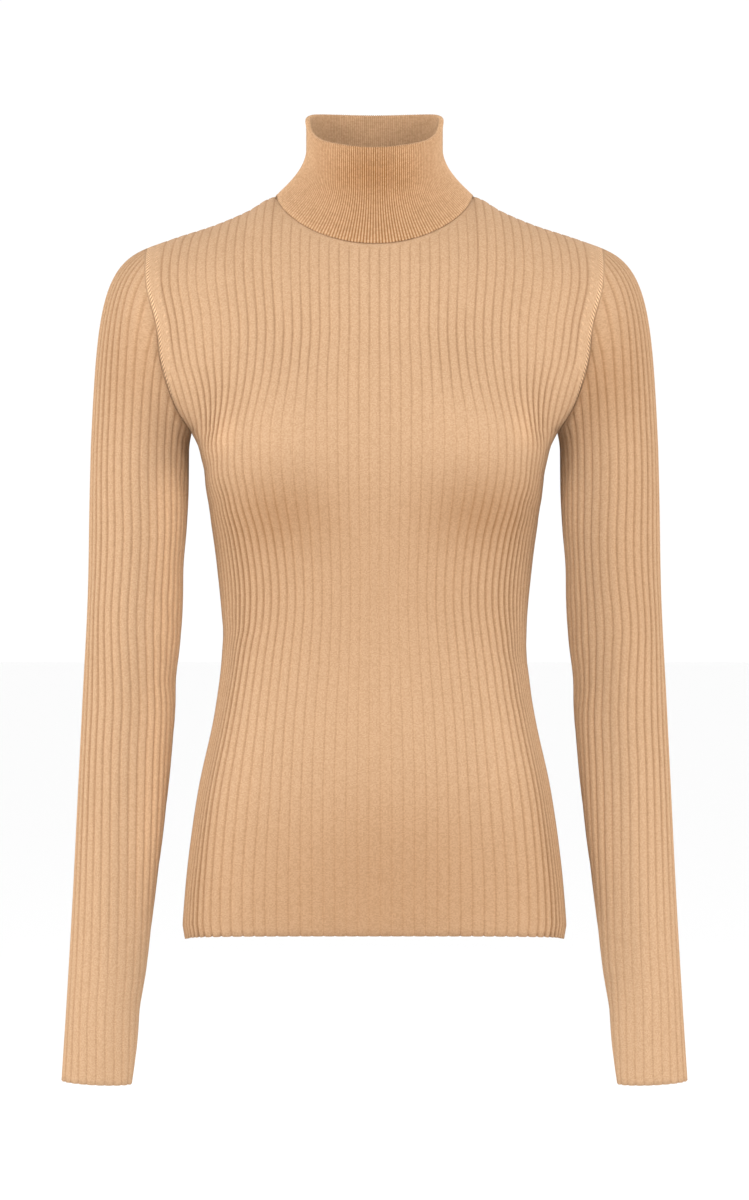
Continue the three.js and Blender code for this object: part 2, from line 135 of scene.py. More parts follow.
SEAM_SINK, SEAM_REACH = 0.0002, 0.0022
# Painted light along the body's armhole seam, lightening the shade in the valley there.
ARMHOLE_PAINTED_LIGHT, ARMHOLE_PAINTED_LIGHT_REACH = 0.15, 0.007
STRIP_AT_UNDERARM, STRIP_WIDER_ABOVE = 0.0035, 0.0075
STRIP_WIDENS_FROM, STRIP_WIDENS_TO = math.radians(135), math.radians(95)
LINKING_IN, LINKING_WIDTH = 0.0020, 0.0013
NARROWING_IN, NARROWING_WIDTH, NARROWING_SHARE = 0.0012, 0.0011, 0.8
NECK_BAND_FROM, NECK_BAND_TO = 0.0055, 0.0075
NECK_LINE, NECK_LINE_WIDTH, NECK_LINE_DEPTH = 0.0062, 0.0007, 0.35
HEM_SIDE_DROP, HEM_SIDE_REACH = 0.0085, 0.09
HEM_TURN_IN, HEM_TURN_REACH = 0.003, 0.0065
HEM_SCALLOP, HEM_SCALLOP_REACH = 0.0007, 0.004
CHEST_TOP, CHEST_MIDDLE, MOST_TAUT = -0.130, -0.175, 0.8
FRONT["stretched"] = [
    dict(across=-0.074, up=-0.205, lean=0, long=0.042, wide=0.045, depth=0.35),
    dict(across=0.078, up=-0.207, lean=0, long=0.044, wide=0.043, depth=0.38),
    dict(across=0.002, up=-0.325, lean=0, long=0.055, wide=0.115, depth=0.55),
    dict(across=-0.004, up=-0.570, lean=0, long=0.085, wide=0.110, depth=0.55),
]
BACK["stretched"] = [
    dict(across=-0.060, up=-0.125, lean=0, long=0.050, wide=0.060, depth=0.35),
    dict(across=0.064, up=-0.128, lean=0, long=0.052, wide=0.062, depth=0.35),
    dict(across=0.004, up=-0.560, lean=0, long=0.100, wide=0.090, depth=0.55),
]
# Painted shading on the front: positive depths are painted shade under the bust, over the belly and
# towards the hem, where less light falls; negative depths are painted light beside the underarms.
FRONT["open"] = [
    dict(across=-0.080, up=-0.258, lean=0, long=0.046, wide=0.032, depth=1.35),
    dict(across=0.086, up=-0.256, lean=0, long=0.048, wide=0.032, depth=1.35),
    dict(across=0.000, up=-0.295, lean=0, long=0.090, wide=0.080, depth=0.55),
    dict(across=-0.084, up=-0.318, lean=0, long=0.036, wide=0.045, depth=0.20),
    dict(across=0.088, up=-0.316, lean=0, long=0.040, wide=0.045, depth=0.25),
    dict(across=0.002, up=-0.430, lean=0, long=0.090, wide=0.120, depth=0.25),
    dict(across=0.020, up=-0.515, lean=0, long=0.150, wide=0.048, depth=0.55),
    dict(across=0.004, up=-0.580, lean=0, long=0.160, wide=0.065, depth=1.10),
    dict(across=-0.126, up=-0.196, lean=0, long=0.016, wide=0.022, depth=-0.45),
    dict(across=0.124, up=-0.192, lean=0, long=0.016, wide=0.022, depth=-0.40),
]
# Painted shade on the back: a patch at the middle and one towards the hem.
BACK["open"] = [
    dict(across=-0.003, up=-0.310, lean=0, long=0.090, wide=0.090, depth=0.50),
    dict(across=0.002, up=-0.580, lean=0, long=0.150, wide=0.060, depth=0.90),
]
FRONT["creases"] = [
    dict(across=-0.128, up=-0.214, lean=38, long=0.026, wide=0.006, depth=0.0012),
    dict(across=0.127, up=-0.220, lean=-34, long=0.028, wide=0.010, depth=0.0010),
    dict(across=-0.122, up=-0.246, lean=28, long=0.024, wide=0.007, depth=0.0009),
    dict(across=0.124, up=-0.252, lean=-22, long=0.022, wide=0.006, depth=0.0008),
    dict(across=-0.112, up=-0.352, lean=12, long=0.026, wide=0.009, depth=0.0009),
    dict(across=0.110, up=-0.371, lean=-9, long=0.028, wide=0.010, depth=0.0010),
    dict(across=0.100, up=-0.402, lean=-16, long=0.030, wide=0.010, depth=0.0007),
]
BACK["creases"] = [
    dict(across=-0.130, up=-0.205, lean=40, long=0.028, wide=0.007, depth=0.0012),
    dict(across=0.128, up=-0.212, lean=-36, long=0.026, wide=0.006, depth=0.0012),
    dict(across=-0.030, up=-0.345, lean=5, long=0.070, wide=0.010, depth=0.0012),
    dict(across=0.034, up=-0.378, lean=-4, long=0.064, wide=0.011, depth=0.0013),
    dict(across=-0.020, up=-0.409, lean=3, long=0.060, wide=0.010, depth=0.0008),
]


def smooth(rows, key, place, column):
    """Value of a column at places between the rows of a table: a cubic through the rows."""
    at, value = rows[key], rows[column]
    slope = np.gradient(value, at)
    slope[1:-1] = (value[2:] - value[:-2]) / (at[2:] - at[:-2])
    row = np.clip(np.searchsorted(at, place) - 1, 0, len(at) - 2)
    span = at[row + 1] - at[row]
    t = (place - at[row]) / span
    low = value[row] * (1 + 2 * t) * (1 - t) ** 2
    high = value[row + 1] * (3 - 2 * t) * t**2
    bend = slope[row] * t * (1 - t) ** 2 - slope[row + 1] * (1 - t) * t**2
    return low + high + span * bend


def step_up(start, end, place):
    """0 before start, 1 past end, and an even rise between them."""
    t = np.clip((place - start) / (end - start), 0, 1)
    return t * t * (3 - 2 * t)


def near(place, middle, reach):
    """1 at the middle, fading to nothing about two reaches away from it."""
    return np.exp(-(((place - middle) / reach) ** 2))


def level_section(panel, share, height):
    """Across and depth of a panel at one height, at shares of the cloth from its middle."""
    depth = smooth(BODY_DEPTHS, "height", height, panel["name"])
    square = smooth(BODY_DEPTHS, "height", height, panel["name"] + "_square")
    edge = smooth(SIDE_LINE, "height", height, "across")
    rise = np.clip((height - ARMHOLE_MIDDLE) / ARMHOLE_HALF_HEIGHT, -1, 1)
    edge_depth = panel["armhole"] * math.sqrt(1 - rise**2)
    reach = edge / (1 - (edge_depth / depth) ** square) ** (1 / square)
    end = math.asin((edge / reach) ** (square / 2))
    angle = np.linspace(0, end, 240)
    x = reach * np.sin(angle) ** (2 / square)
    y = depth * np.maximum(np.cos(angle), 0) ** (2 / square)
    bust_tall = BUST_ABOVE if height > BUST_HEIGHT else BUST_BELOW
    fuller = near(x, BUST_ACROSS, BUST_REACH) * near(height, BUST_HEIGHT, bust_tall)
    y *= 1 + panel["bust"] * fuller
    length = np.r_[0, np.cumsum(np.hypot(np.diff(x), np.diff(y)))]
    wanted = np.abs(share) * length[-1]
    return np.sign(share) * np.interp(wanted, length, x), np.interp(wanted, length, y)


def shoulder_row(panel, share, turn):
    """One row of a panel at a turn round the armhole: 0 at the shoulder, pi at the underarm."""
    if turn >= math.pi / 2:
        height = ARMHOLE_MIDDLE + ARMHOLE_HALF_HEIGHT * math.cos(turn)
        x, y = level_section(panel, share, height)
        return np.stack([x, panel["side"] * y, np.full_like(x, height)], axis=-1)
    in_neck = np.maximum(1 - (share / NECK_SHARE) ** 2, 0)
    stop = panel["neck_angle"] * in_neck ** (panel["curve"] / 2)
    angle = stop + (math.pi / 2 - stop) * (turn / (math.pi / 2))
    x, y = level_section(panel, share, ARMHOLE_MIDDLE)
    spring_edge = smooth(SIDE_LINE, "height", ARMHOLE_MIDDLE, "across")
    seam_height = ARMHOLE_MIDDLE + ARMHOLE_HALF_HEIGHT * np.cos(angle)
    seam = smooth(SIDE_LINE, "height", seam_height, "across")
    across = share + (x / spring_edge - share) * np.sin(angle)
    ridge = smooth(SHOULDER_LINE, "across", np.abs(share) * SHOULDER_HALF_WIDTH, "height")
    climb = ridge + panel["rise"] * in_neck**2 - ARMHOLE_MIDDLE
    z = ARMHOLE_MIDDLE + climb * np.cos(angle)
    return np.stack([seam * across, panel["side"] * y * np.sin(angle), z], axis=-1)


def rib_shares(panel, ribs, height):
    """Shares of the cloth from its middle at counted ribs, from how far across they lie."""
    share = np.linspace(0, 1, 240)
    x, y = level_section(panel, share, height)
    across = [smooth(RIB_FLOW, "height", height, name) for name in COUNTED_RIBS]
    counted = zip(COUNTED_RIBS.values(), np.interp(across, x, share))
    known = table("rib share", (0, 0), *counted, (BODY_RIBS / 2, 1))
    return np.sign(ribs) * smooth(known, "rib", np.abs(ribs), "share")


def rib_columns(first, last):
    """Places of the columns, in ribs: close together in the furrow between two ribs."""
    within = np.array([0, 0.07, 0.15, 0.29, 0.5, 0.71, 0.85, 0.93])
    whole = np.arange(math.floor(first), math.ceil(last))
    places = (whole[:, None] + within).ravel()
    places = places[(places >= first) & (places < last)]
    return np.r_[places, last]


def furrow(ribs, slack):
    """How sunken the cloth is across the ribs: 1 between two ribs, and over more of them if slack."""
    off = np.abs(ribs - np.round(ribs))
    narrow = near(off, 0, 0.085 + 0.115 * slack)
    round_share = 0.2 + 0.3 * slack
    return (1 - round_share) * narrow + round_share * (1 - np.sin(math.pi * off))


def outward(points, closed=False):
    """Unit vectors out of a grid of points whose columns run left to right seen from outside."""
    if closed:
        wrapped = np.concatenate([points[:, -2:-1], points, points[:, 1:2]], axis=1)
        along = np.gradient(wrapped, axis=1)[:, 1:-1]
    else:
        along = np.gradient(points, axis=1)
    normal = np.cross(along, np.gradient(points, axis=0))
    return normal / np.maximum(np.linalg.norm(normal, axis=2, keepdims=True), 1e-12)


def run_length(points, axis):
    """Length of cloth from the first row or column to each point."""
    steps = np.linalg.norm(np.diff(points, axis=axis), axis=2)
    pad = [(1, 0), (0, 0)] if axis == 0 else [(0, 0), (1, 0)]
    return np.cumsum(np.pad(steps, pad), axis=axis)


def crease_depth(creases, across, up):
    """Depth of soft creases: a trough along a line, deepest in the middle and faded at its ends."""
    depth = np.zeros(np.broadcast(across, up).shape)
    for crease in creases:
        lean = math.radians(crease["lean"])
        right, above = across - crease["across"], up - crease["up"]
        along = right * math.cos(lean) + above * math.sin(lean)
        aside = -right * math.sin(lean) + above * math.cos(lean)
        depth += crease["depth"] * near(along, 0, crease["long"]) * near(aside, 0, crease["wide"])
    return depth


def knit_object(name, points, ribs, courses, marks):
    """A piece of knitting from a grid of points. Its UV map counts ribs across and metres up."""
    rows, columns = points.shape[:2]
    cloth = bmesh.new()
    bmesh.ops.create_grid(cloth, x_segments=columns - 1, y_segments=rows - 1, size=0.5)
    mesh = bpy.data.meshes.new(name)
    cloth.to_mesh(mesh)
    cloth.free()
    flat = np.zeros(len(mesh.vertices) * 3)
    mesh.vertices.foreach_get("co", flat)
    flat = flat.reshape(-1, 3)
    column = np.rint((flat[:, 0] + 0.5) * (columns - 1)).astype(int)
    row = np.rint((flat[:, 1] + 0.5) * (rows - 1)).astype(int)
    mesh.vertices.foreach_set("co", points[row, column].ravel())
    corner = np.zeros(len(mesh.loops), int)
    mesh.loops.foreach_get("vertex_index", corner)
    place = np.stack([ribs[row, column], courses[row, column]], axis=1)
    mesh.uv_layers.new(name="Stitches").data.foreach_set("uv", place[corner].ravel())
    for label, values in marks.items():
        spread = np.broadcast_to(values, ribs.shape)[row, column]
        mesh.attributes.new(label, "FLOAT", "POINT").data.foreach_set("value", spread)
    mesh.polygons.foreach_set("use_smooth", np.ones(len(mesh.polygons), bool))
    piece = bpy.data.objects.new(name, mesh)
    bpy.context.scene.collection.objects.link(piece)
    return piece


def give_thickness(piece, thickness):
    """Merges what meets at a seam or runs out at an edge, then gives the cloth its thickness."""
    cloth = bmesh.new()
    cloth.from_mesh(piece.data)
    bmesh.ops.remove_doubles(cloth, verts=cloth.verts, dist=2e-6)
    cloth.to_mesh(piece.data)
    cloth.free()
    wall = piece.modifiers.new("cloth thickness", "SOLIDIFY")
    wall.thickness = thickness
    wall.offset = -1
    wall.use_even_offset = False


def panel_grid(panel):
    """A panel's points before its ribs, their places in ribs, and each row's turn at the armhole."""
    levels = np.linspace(HEM, UNDERARM, LOWER_ROWS + 1)[:-1]
    turns = math.pi * (np.arange(ARMHOLE_ROWS, -1, -1) / ARMHOLE_ROWS) ** ARMHOLE_CROWDING
    heights = np.r_[levels, ARMHOLE_MIDDLE + ARMHOLE_HALF_HEIGHT * np.cos(turns)]
    turns = np.r_[np.full(len(levels), math.pi), turns]
    places = rib_columns(-BODY_RIBS / 2 - 0.5, BODY_RIBS / 2 - 0.5) + 0.5
    ribs = places * -panel["side"]
    shoulder_share = np.sign(ribs) * smooth(SHOULDER_RIBS, "rib", np.abs(ribs), "share")
    spring_share = rib_shares(panel, ribs, ARMHOLE_MIDDLE)
    rows = []
    for height, turn in zip(heights, turns):
        if turn < math.pi / 2:
            share = shoulder_share + (spring_share - shoulder_share) * math.sin(turn)
            rows.append(shoulder_row(panel, share, turn))
            continue
        x, y = level_section(panel, rib_shares(panel, ribs, height), height)
        rows.append(np.stack([x, panel["side"] * y, np.full_like(x, height)], axis=-1))
    return np.array(rows), places, turns[:, None]


def body_panel(panel):
    """Points, rib places, lengths up the cloth and marks of the front or the back."""
    points, places, turn = panel_grid(panel)
    above = (np.arange(len(points)) >= LOWER_ROWS)[:, None]
    length = run_length(points, 1)
    from_side = np.minimum(length, length[:, -1:] - length)
    from_hem = run_length(points, 0)
    from_top = from_hem[-1:] - from_hem
    in_neck = np.abs(points[-1, :, 0]) <= NECK_HALF_WIDTH

    widening = step_up(STRIP_WIDENS_FROM, STRIP_WIDENS_TO, turn)
    strip = STRIP_AT_UNDERARM + STRIP_WIDER_ABOVE * widening
    plain = np.where(above, 1 - step_up(strip - 0.001, strip + 0.0015, from_side), 0)
    at_neck = np.where(in_neck, 1 - step_up(NECK_BAND_FROM, NECK_BAND_TO, from_top), 0)
    ribs = np.broadcast_to(places + 0.5, plain.shape)
    taut = np.minimum(crease_depth(panel["stretched"], points[..., 0], points[..., 2]), MOST_TAUT)
    narrowed = NARROWING_SHARE * near(from_side, strip - NARROWING_IN, NARROWING_WIDTH)
    linked = np.where(above, near(from_side, LINKING_IN, LINKING_WIDTH) - narrowed, 0)

    forward = np.abs(points[..., 1])
    to_side = 1 - forward / forward.max(axis=1)[:, None]
    points[..., 2] -= HEM_SIDE_DROP * near(from_hem, 0, HEM_SIDE_REACH) * to_side
    out = outward(points)
    points = points - out * (HEM_TURN_IN * near(from_hem, 0, HEM_TURN_REACH))[..., None]
    pitch = np.linalg.norm(np.gradient(points, axis=1), axis=2) / np.gradient(places)
    below_chest = step_up(CHEST_TOP, CHEST_MIDDLE, points[..., 2])
    turned = np.abs(out[..., 0]) ** 1.9 * (SLACK_OF_CHEST + (1 - SLACK_OF_CHEST) * below_chest)
    slack = SLACK_OF_CLOSE_RIBS * step_up(STRETCHED_PITCH, SLACK_PITCH, pitch)
    slack = slack + SLACK_OF_SIDES * turned
    slack = np.clip(slack, 0, 1) * (1 - taut)
    # Painted shading: painted shade from the listed patches, and painted light along the armhole seam
    # where the value goes below zero.
    wide_open = crease_depth(panel["open"], points[..., 0], points[..., 2])
    wide_open -= np.where(above, ARMHOLE_PAINTED_LIGHT * near(from_side, 0, ARMHOLE_PAINTED_LIGHT_REACH), 0)
    sunk = furrow(ribs, slack) * (1 - np.maximum(plain, at_neck)) * (1 - taut)
    sunk += np.where(in_neck, NECK_LINE_DEPTH * near(from_top, NECK_LINE, NECK_LINE_WIDTH), 0)
    relief = RIB_DEPTH + SLACK_RIB_DEPTH * slack
    press = crease_depth(panel["creases"], points[..., 0], points[..., 2])
    points = points - out * (relief * sunk + press)[..., None]

    at_side = near(from_side, 0, SEAM_REACH)
    toward = np.zeros_like(points)
    toward[..., 0] = -np.sign(points[..., 0])
    into = np.stack([0 * turn, -panel["side"] * np.sin(turn), -np.cos(turn)], axis=-1)
    toward = np.where(above[..., None], into, toward)
    points = points + SEAM_SINK * at_side[..., None] * toward
    at_top = near(from_top, 0, SEAM_REACH) * (1 - at_side)
    points[..., 2] -= 0.6 * SEAM_SINK * at_top
    points[..., 2] += HEM_SCALLOP * near(from_hem, 0, HEM_SCALLOP_REACH) * (sunk - 0.3)
    # From here sunk carries painted shade in the furrows, darker where the ribs are slack.
    sunk = sunk * (SHADE_OF_TAUT + SHADE_OF_SLACK * slack)
    return points, ribs, from_hem, dict(sunk=sunk, linked=linked, open=wide_open)


def add_node(tree, kind, settings=(), **inputs):
    """A shader node. Its inputs are values, or outputs of other nodes to be linked to it."""
    made = tree.nodes.new(kind)
    for key, value in dict(settings).items():
        setattr(made, key, value)
    for key, value in inputs.items():
        name = key.replace("_", " ")
        socket = made.inputs[int(name[1:])] if name[1:].isdigit() else made.inputs[name]
        if isinstance(value, bpy.types.NodeSocket):
            tree.links.new(value, socket)
        else:
            socket.default_value = value
    return made


def calculate(tree, operation, first, second=0.0, third=0.0):
    """One step of arithmetic between shader values."""
    made = add_node(
        tree, "ShaderNodeMath", {"operation": operation}, i0=first, i1=second, i2=third
    )
    return made.outputs[0]


def new_group(name, inputs, outputs):
    """An empty shader node group with named inputs and outputs."""
    group = bpy.data.node_groups.new(name, "ShaderNodeTree")
    for label, kind in inputs:
        group.interface.new_socket(label, in_out="INPUT", socket_type="NodeSocket" + kind)
    for label, kind in outputs:
        group.interface.new_socket(label, in_out="OUTPUT", socket_type="NodeSocket" + kind)
    return group, group.nodes.new("NodeGroupInput").outputs, group.nodes.new("NodeGroupOutput")


LEG_SLANT, LOOP_ROUNDNESS = 0.7, 0.6


def stitch_group():
    """Rows of knitted loops: each a pair of slanting legs, in wales across and courses up."""
    group, given, result = new_group(
        "knitted loops",
        [("Stitches", "Vector"), ("Wales", "Float"), ("Courses", "Float")],
        [("Height", "Float"), ("Tone", "Float")],
    )
    apart = add_node(group, "ShaderNodeSeparateXYZ", Vector=given["Stitches"]).outputs
    wale = calculate(group, "MULTIPLY", apart["X"], given["Wales"])
    course = calculate(group, "MULTIPLY", apart["Y"], given["Courses"])
    across = calculate(group, "FRACT", wale)
    leg = calculate(group, "ABSOLUTE", calculate(group, "MULTIPLY_ADD", across, 2.0, -1.0))
    slant = calculate(group, "MULTIPLY_ADD", leg, LEG_SLANT, course)
    along = calculate(group, "SINE", calculate(group, "MULTIPLY", slant, math.tau))
    along = calculate(group, "MULTIPLY_ADD", along, 0.5, 0.5)
    aside = calculate(group, "SINE", calculate(group, "MULTIPLY", leg, math.pi))
    along = calculate(group, "MULTIPLY_ADD", along, LOOP_ROUNDNESS, 1.0 - LOOP_ROUNDNESS)
    height = calculate(group, "MULTIPLY", aside, along)
    whole = [calculate(group, "FLOOR", wale), calculate(group, "FLOOR", course)]
    loop = add_node(group, "ShaderNodeCombineXYZ", X=whole[0], Y=whole[1]).outputs[0]
    tone = add_node(group, "ShaderNodeTexWhiteNoise", {"noise_dimensions": "2D"}, Vector=loop)
    group.links.new(height, result.inputs["Height"])
    group.links.new(tone.outputs["Value"], result.inputs["Tone"])
    return group


FIBRES_PER_METRE, FLECKS_PER_METRE, SLUBS_PER_METRE = 1900.0, 1300.0, 16.0
FIBRE_SHARE, FLECK_SHARE, SLUB_SHARE, LOOP_SHARE = 0.3, 0.2, 0.12, 0.38
FIBRE_LENGTH, DARKEST_TONE, LIGHTEST_TONE = 0.45, 0.32, 0.68


def yarn_group():
    """A mixed yarn: fine light and dark fibres, flecks, and slow changes from the spinning."""
    group, given, result = new_group(
        "mixed yarn",
        [("Place", "Vector"), ("Tone", "Float"), ("Light", "Color"), ("Dark", "Color")],
        [("Color", "Color"), ("Fluff", "Float")],
    )
    long_way = add_node(
        group, "ShaderNodeMapping", i0=given["Place"], Scale=(1.0, 1.0, FIBRE_LENGTH)
    ).outputs[0]
    fibres = add_node(
        group,
        "ShaderNodeTexNoise",
        Vector=long_way,
        Scale=FIBRES_PER_METRE,
        Detail=2.0,
        Roughness=0.6,
    ).outputs[0]
    flecks = add_node(
        group, "ShaderNodeTexNoise", Vector=given["Place"], Scale=FLECKS_PER_METRE, Detail=1.0
    ).outputs[0]
    slubs = add_node(
        group, "ShaderNodeTexNoise", Vector=given["Place"], Scale=SLUBS_PER_METRE, Detail=2.0
    ).outputs[0]
    mixed = calculate(group, "MULTIPLY", flecks, FLECK_SHARE)
    mixed = calculate(group, "MULTIPLY_ADD", fibres, FIBRE_SHARE, mixed)
    mixed = calculate(group, "MULTIPLY_ADD", slubs, SLUB_SHARE, mixed)
    mixed = calculate(group, "MULTIPLY_ADD", given["Tone"], LOOP_SHARE, mixed)
    spread = add_node(
        group, "ShaderNodeMapRange", Value=mixed, From_Min=DARKEST_TONE, From_Max=LIGHTEST_TONE
    ).outputs[0]
    tone = add_node(
        group, "ShaderNodeMix", {"data_type": "RGBA"}, i0=spread, i6=given["Dark"], i7=given["Light"]
    )
    group.links.new(tone.outputs[2], result.inputs["Color"])
    group.links.new(fibres, result.inputs["Fluff"])
    return group


LOOPS, YARN = stitch_group(), yarn_group()
LINKS_PER_METRE, NARROWINGS_PER_METRE = 320, 150


def bead_group():
    """Linking along a seam, as small beads, and the marks of narrowing, further apart, with a painted
    highlight on them as their tone.
    """
    group, given, result = new_group(
        "linking and narrowing",
        [("Stitches", "Vector"), ("Linked", "Float")],
        [("Height", "Float"), ("Tone", "Float")],
    )
    apart = add_node(group, "ShaderNodeSeparateXYZ", Vector=given["Stitches"]).outputs
    links = calculate(group, "MULTIPLY", apart["Y"], math.tau * LINKS_PER_METRE)
    wave = calculate(group, "SINE", links)
    fine = calculate(group, "MULTIPLY_ADD", wave, 0.5, 0.5)
    wide = calculate(group, "MULTIPLY", apart["Y"], math.tau * NARROWINGS_PER_METRE)
    wide = calculate(group, "MAXIMUM", calculate(group, "SINE", wide), 0.0)
    wide = calculate(group, "POWER", wide, 3.0)
    seam = calculate(group, "MAXIMUM", given["Linked"], 0.0)
    marks = calculate(group, "MAXIMUM", calculate(group, "MULTIPLY", given["Linked"], -1.0), 0.0)
    height = calculate(group, "MULTIPLY_ADD", seam, fine, calculate(group, "MULTIPLY", marks, wide))
    # Tone: a painted highlight on the tops of the beads and marks.
    tone = calculate(group, "MULTIPLY", seam, calculate(group, "MULTIPLY_ADD", wave, 1.0, 0.1))
    tone = calculate(group, "MULTIPLY_ADD", calculate(group, "MULTIPLY", marks, wide), 0.5, tone)
    group.links.new(height, result.inputs["Height"])
    group.links.new(tone, result.inputs["Tone"])
    return group


BEADS = bead_group()
# The colour that the painted shade in furrows and patches tends towards.
SHADE_OF_FURROWS = (0.38, 0.19, 0.0, 1)
# Painted light and shade: loop tops lighter and gaps between loops darker, a painted highlight on
# seam beads, and painted light where the shading is below zero.
LOOP_LIGHT, LOOP_SHADE, BEAD_LIGHT, PAINTED_LIGHT_GAIN = 0.16, 0.11, 0.7, 0.5
# A painted highlight along the flanks of each furrow.
FLANK_AT, FLANK_NARROWNESS = 0.22, 7.0
FLUFF_HEIGHT, BEAD_HEIGHT = 0.5, 1.5


def knit_material(name, light, dark, wales, courses, furrow_shade, flank_light):
    """Wool-blend knitting: loops as bump, mixed yarn, painted shade down between the ribs and in
    patches, and painted light and highlights.
    """
    material = bpy.data.materials.new(name)
    material.use_nodes = True
    tree = material.node_tree
    shader = tree.nodes["Principled BSDF"]
    stitches = add_node(tree, "ShaderNodeUVMap", {"uv_map": "Stitches"}).outputs[0]
    place = add_node(tree, "ShaderNodeTexCoord").outputs["Object"]
    sunk = add_node(tree, "ShaderNodeAttribute", {"attribute_name": "sunk"}).outputs["Fac"]
    linked = add_node(tree, "ShaderNodeAttribute", {"attribute_name": "linked"}).outputs["Fac"]
    wide_open = add_node(tree, "ShaderNodeAttribute", {"attribute_name": "open"}).outputs["Fac"]
    knit = add_node(
        tree,
        "ShaderNodeGroup",
        {"node_tree": LOOPS},
        Stitches=stitches,
        Wales=wales,
        Courses=courses,
    ).outputs
    yarn = add_node(
        tree,
        "ShaderNodeGroup",
        {"node_tree": YARN},
        Place=place,
        Tone=knit["Tone"],
        Light=light,
        Dark=dark,
    ).outputs
    beads = add_node(
        tree, "ShaderNodeGroup", {"node_tree": BEADS}, Stitches=stitches, Linked=linked
    ).outputs
    loops = knit["Height"]
    # Painted light on the tops of the loops and painted shade between them.
    bright = calculate(tree, "MULTIPLY_ADD", loops, LOOP_LIGHT, 1.0 - LOOP_SHADE)
    # A painted highlight on the flanks beside each furrow.
    flank_highlight = calculate(tree, "ABSOLUTE", calculate(tree, "SUBTRACT", sunk, FLANK_AT))
    flank_highlight = calculate(tree, "MULTIPLY_ADD", flank_highlight, -FLANK_NARROWNESS, 1.0)
    flank_highlight = calculate(tree, "MAXIMUM", flank_highlight, 0.0)
    bright = calculate(tree, "MULTIPLY_ADD", flank_highlight, flank_light, bright)
    # A painted highlight on the seam beads and narrowing marks.
    bright = calculate(tree, "MULTIPLY_ADD", beads["Tone"], BEAD_LIGHT, bright)
    # Painted light where the painted shading is below zero.
    painted_light = calculate(tree, "MAXIMUM", calculate(tree, "MULTIPLY", wide_open, -1.0), 0.0)
    bright = calculate(tree, "MULTIPLY_ADD", painted_light, PAINTED_LIGHT_GAIN, bright)
    lit = add_node(
        tree,
        "ShaderNodeMix",
        {"data_type": "RGBA", "blend_type": "MULTIPLY"},
        i0=1.0,
        i6=yarn["Color"],
        i7=bright,
    ).outputs[2]
    # Painted shade in the furrows and in the patches where the painted shading is above zero.
    painted_shade_amount = calculate(tree, "ADD", sunk, calculate(tree, "MAXIMUM", wide_open, 0.0))
    painted_shade_amount = calculate(tree, "MULTIPLY", painted_shade_amount, furrow_shade)
    shaded = add_node(
        tree,
        "ShaderNodeMix",
        {"data_type": "RGBA", "blend_type": "MULTIPLY"},
        i0=painted_shade_amount,
        i6=lit,
        i7=SHADE_OF_FURROWS,
    ).outputs[2]
    height = calculate(tree, "MULTIPLY_ADD", yarn["Fluff"], FLUFF_HEIGHT, loops)
    height = calculate(tree, "MULTIPLY_ADD", beads["Height"], BEAD_HEIGHT, height)
    bump = add_node(tree, "ShaderNodeBump", Height=height, Strength=0.6, Distance=0.0004)
    tree.links.new(shaded, shader.inputs["Base Color"])
    tree.links.new(bump.outputs[0], shader.inputs["Normal"])
    shader.inputs["Roughness"].default_value = 0.92
    shader.inputs["Specular IOR Level"].default_value = 0.1
    shader.inputs["Sheen Weight"].default_value = 0.12
    shader.inputs["Sheen Roughness"].default_value = 0.45
    shader.inputs["Sheen Tint"].default_value = light
    return material


WIDE_RIB = knit_material(
    "camel_wide_rib",
    light=(0.410, 0.264, 0.158, 1),
    dark=(0.341, 0.211, 0.119, 1),
    wales=8.0,
    courses=1150.0,
    furrow_shade=0.24,
    flank_light=0.05,
)

for name, panel in (("front", FRONT), ("back", BACK)):
    piece = knit_object(name + "_panel", *body_panel(panel))
    give_thickness(piece, CLOTH)
    piece.data.materials.append(WIDE_RIB)
    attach(piece, "root")
    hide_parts(name)


# THE SLEEVES
# Two long slim sleeves in the same wide rib, each one piece closed by a seam under the arm. The
# ribs run straight down from the cap, and those beside the seam are dropped as it narrows.
ARM_SECTIONS = table(
    "height inner outer half_depth behind",
    (-0.721, 0.1968, 0.2548, 0.022, -0.024),
    (-0.656, 0.1892, 0.2511, 0.025, -0.017),
    (-0.574, 0.180, 0.2471, 0.029, -0.007),
    (-0.492, 0.1703, 0.2438, 0.034, 0.003),
    (-0.410, 0.1628, 0.2401, 0.0385, 0.008),
    (-0.328, 0.1569, 0.2357, 0.042, 0.005),
    (-0.246, 0.1526, 0.2338, 0.045, 0.001),
    (-0.205, 0.1519, 0.2327, 0.0455, 0),
)
CAP_TURNS = table(
    "seam arm",
    (0, 0),
    (16, 35),
    (33, 62),
    (50, 76),
    (68, 86),
    (86, 96),
    (110, 112),
    (133, 128),
    (155, 147),
    (180, 180),
)
CUFF, CAP_BOTTOM = -0.721, -0.205
CUFF_LIFT, CUFF_LIFT_REACH = 0.0022, 0.03
SLEEVE_PITCH, SLEEVE_SLACK, OUTER_SLACK, INNER_SLACK = 0.0074, 0.2, 0.9, 0.4
SLEEVE_RIB_DEPTH, SLEEVE_SIDE_DEPTH, CUFF_FIRMNESS = 0.0007, 0.0011, 0.55
SLEEVE_SEAM_REACH, SLEEVE_SEAM_DEPTH = 0.0016, 0.75
ARM_ROWS, CAP_ROWS = 92, 26
CAP_SLOPES = table("seam slope", (0, 20), (30, 46), (55, 66), (90, 70), (135, 76), (180, 85))
CAP_BULGE, CAP_ARM_LEAN, CAP_TOP_KEEP, CAP_ARM_KEEP = 0.4, 0.045, 0.24, 0.64
# Painted light along the lower part of the cap seam, lightening the shade in the valley by the body.
CAP_PAINTED_LIGHT, CAP_PAINTED_LIGHT_REACH, CAP_PAINTED_LIGHT_FROM, CAP_PAINTED_LIGHT_TO = 0.55, 0.012, 60, 140
